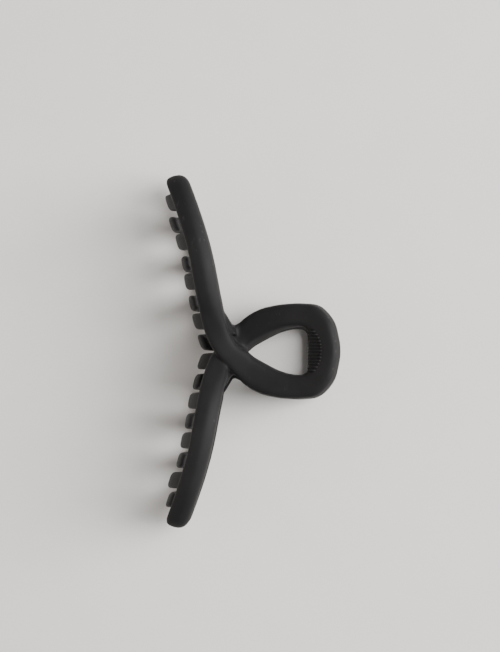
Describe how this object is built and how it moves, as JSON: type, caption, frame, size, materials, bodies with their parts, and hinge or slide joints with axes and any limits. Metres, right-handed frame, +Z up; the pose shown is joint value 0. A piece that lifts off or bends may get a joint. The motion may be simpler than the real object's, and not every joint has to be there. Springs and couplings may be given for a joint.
{
  "type": "claw clip",
  "caption": "Large matte loop-handle hair claw clip: two interleaving toothed jaws sprung shut on a hinge pin, with ribbed loop handles to squeeze open.",
  "frame": {"origin": "on the resting plane, under the middle of the closed clip's box, with the clip lying on its back jaw", "axes": "+X from the teeth to the handles, +Y along the hinge pin and the length of the jaws, +Z up through the two jaws"},
  "size_m": [0.0501, 0.1002, 0.0391],
  "materials": {
    "jaw_plastic": "soft-touch matt black",
    "pin_steel": "drawn steel",
    "spring_steel": "drawn spring wire"
  },
  "bodies": {
    "back": {"back_jaw": "jaw_plastic", "hinge_pin": "pin_steel", "torsion_spring": "spring_steel"},
    "front": {"front_jaw": "jaw_plastic"}
  },
  "joints": [
    {"name": "jaw_hinge", "type": "hinge", "parent": "back", "child": "front", "pos_m": [-0.00387, 0, 0.01965], "axis": [0, 1, 0], "range_deg": [0, 48], "stiffness_Nm_per_rad": 0.12, "springref_deg": -55, "deforming": ["torsion_spring"]}
  ]
}
